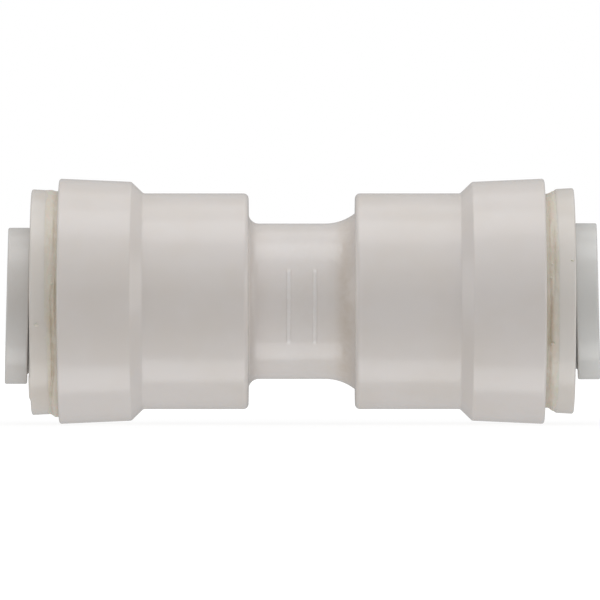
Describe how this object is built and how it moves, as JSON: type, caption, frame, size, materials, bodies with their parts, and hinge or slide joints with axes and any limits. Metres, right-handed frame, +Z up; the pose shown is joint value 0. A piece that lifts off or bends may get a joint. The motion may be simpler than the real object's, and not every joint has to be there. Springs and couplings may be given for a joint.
{
  "type": "push fit coupling",
  "caption": "Straight equal push-fit coupling for plastic or copper water pipe, with sliding release collets and ribbed waist.",
  "frame": {"origin": "middle of the coupling on the tube's axis", "axes": "+X along the tube towards the right-hand socket, +Y away from the front with the stop ribs, +Z up"},
  "size_m": [0.0516, 0.0214, 0.0214],
  "materials": {
    "body_acetal": "satin off-white moulded acetal",
    "cap_acetal": "satin off-white moulded acetal",
    "collet_acetal": "satin cool-grey moulded acetal",
    "tooth_steel": "stamped stainless steel",
    "seal_rubber": "smooth black moulded EPDM rubber",
    "washer_acetal": "plain moulded acetal"
  },
  "bodies": {
    "coupling_body": {"body": "body_acetal", "left_end_cap": "cap_acetal", "left_o_ring": "seal_rubber", "left_spacer_washer": "washer_acetal", "right_end_cap": "cap_acetal", "right_o_ring": "seal_rubber", "right_spacer_washer": "washer_acetal"},
    "left_collet": {"left_collet": "collet_acetal", "left_grip_tooth_1": "tooth_steel", "left_grip_tooth_2": "tooth_steel", "left_grip_tooth_3": "tooth_steel", "left_grip_tooth_4": "tooth_steel", "left_grip_tooth_5": "tooth_steel", "left_grip_tooth_6": "tooth_steel"},
    "right_collet": {"right_collet": "collet_acetal", "right_grip_tooth_1": "tooth_steel", "right_grip_tooth_2": "tooth_steel", "right_grip_tooth_3": "tooth_steel", "right_grip_tooth_4": "tooth_steel", "right_grip_tooth_5": "tooth_steel", "right_grip_tooth_6": "tooth_steel"}
  },
  "joints": [
    {"name": "left_collet_slide", "type": "slide", "parent": "coupling_body", "child": "left_collet", "axis": [-1, 0, 0], "range_m": [0, 0.0019]},
    {"name": "right_collet_slide", "type": "slide", "parent": "coupling_body", "child": "right_collet", "axis": [1, 0, 0], "range_m": [0, 0.0019]}
  ]
}
